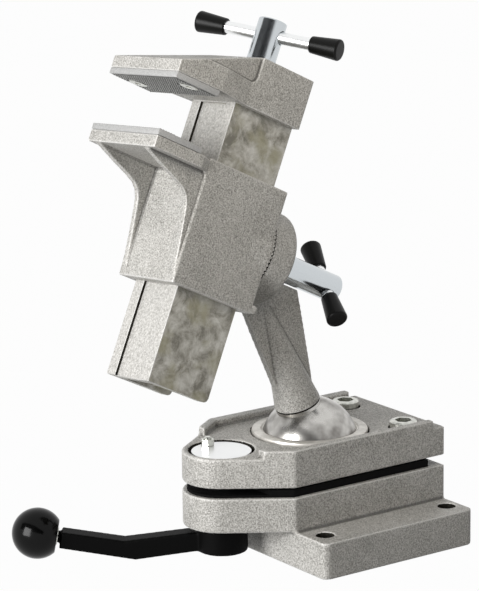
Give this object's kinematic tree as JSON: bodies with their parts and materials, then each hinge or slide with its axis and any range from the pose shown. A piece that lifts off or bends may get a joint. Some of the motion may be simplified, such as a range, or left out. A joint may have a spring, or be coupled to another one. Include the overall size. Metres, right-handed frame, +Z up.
{
  "type": "universal vise",
  "caption": "Bench vise with parallel jaws on a guide bar, a serrated swivel and a ball arm clamped by a lever in a flanged base.",
  "frame": {"origin": "on the bench plane, under the centre of the ball", "axes": "+Z up from the bench, -Y towards the nose of the base and the jaws, +X to the right when facing the jaws from behind"},
  "size_m": [0.1657, 0.26, 0.3483],
  "materials": {
    "hammertone": "silver-grey hammertone paint on cast aluminium",
    "turned_aluminium": "turned ball and painted neck",
    "bare_casting": "bare mottled casting",
    "blasted_aluminium": "blasted, fine knurl",
    "chrome": "bright chrome plate",
    "polished_steel": "polished",
    "zinc_steel": "zinc plated",
    "black_steel": "black semi-gloss coating",
    "knob": "glossy black",
    "cap": "satin black",
    "liner": "matt black",
    "brass": "plain"
  },
  "bodies": {
    "base": {"base_casting": "hammertone", "gap_liner": "liner", "rear_screws": "zinc_steel"},
    "plate": {"clamp_plate": "hammertone", "clamp_bolt": "polished_steel", "lock_stud": "zinc_steel", "lock_nut": "zinc_steel"},
    "lever": {"clamp_lever": "black_steel", "ball_knob": "knob"},
    "ring": {"seat_ring": "turned_aluminium"},
    "arm": {"ball_arm": "turned_aluminium"},
    "head": {"jaw_body": "hammertone", "spindle_nut": "brass", "lower_pad": "blasted_aluminium", "lower_pad_screws": "zinc_steel"},
    "swivel": {"swivel_screw": "chrome"},
    "swivel_tommy": {"swivel_bar": "chrome", "swivel_caps": "cap"},
    "jaw": {"sliding_jaw": "hammertone", "guide_bar": "bare_casting", "upper_pad": "blasted_aluminium", "upper_pad_screws": "zinc_steel"},
    "screw": {"spindle": "chrome", "spindle_collar": "zinc_steel"},
    "screw_tommy": {"spindle_bar": "chrome", "spindle_caps": "cap"}
  },
  "joints": [
    {"name": "lever_swing", "type": "hinge", "parent": "base", "child": "lever", "pos_m": [0, -0.0712, 0.015], "axis": [0, 0, 1], "range_deg": [-58, 130]},
    {"name": "plate_clamp", "type": "hinge", "parent": "base", "child": "plate", "pos_m": [0, 0.0536, 0.047], "axis": [1, 0, 0], "range_deg": [-0.15, 0.34]},
    {"name": "ball_turn", "type": "hinge", "parent": "base", "child": "ring", "pos_m": [0, 0, 0.0636], "axis": [0, 0, 1], "continuous": true},
    {"name": "ball_tilt", "type": "hinge", "parent": "ring", "child": "arm", "pos_m": [0, 0, 0.0636], "axis": [1, 0, 0], "range_deg": [-55, 20]},
    {"name": "head_swivel", "type": "hinge", "parent": "arm", "child": "head", "pos_m": [0, -0.05229, 0.2019], "axis": [0, 0.8934, -0.4493], "continuous": true},
    {"name": "swivel_screw_turn", "type": "hinge", "parent": "arm", "child": "swivel", "pos_m": [0, -0.05229, 0.2019], "axis": [0, 0.8934, -0.4493], "range_deg": [-110, 26]},
    {"name": "swivel_bar_slide", "type": "slide", "parent": "swivel", "child": "swivel_tommy", "axis": [0.7955, -0.2723, -0.5414], "range_m": [-0.0018, 0.0052]},
    {"name": "jaw_slide", "type": "slide", "parent": "head", "child": "jaw", "axis": [-0.0993, 0.4471, 0.889], "range_m": [-0.0312, 0.062]},
    {"name": "spindle_turn", "type": "hinge", "parent": "jaw", "child": "screw", "pos_m": [0, -0.08034, 0.21601], "axis": [-0.0993, 0.4471, 0.889], "range_deg": [-2808, 5580]},
    {"name": "spindle_bar_slide", "type": "slide", "parent": "screw", "child": "screw_tommy", "axis": [0.889, 0.4413, -0.1226], "range_m": [-0.0209, 0.0209]}
  ],
  "couplings": [
    {"joint": "plate_clamp", "follows": "lever_swing", "ratio": 0.00255},
    {"joint": "spindle_turn", "follows": "jaw_slide", "rad_per_m": 1570.8}
  ]
}
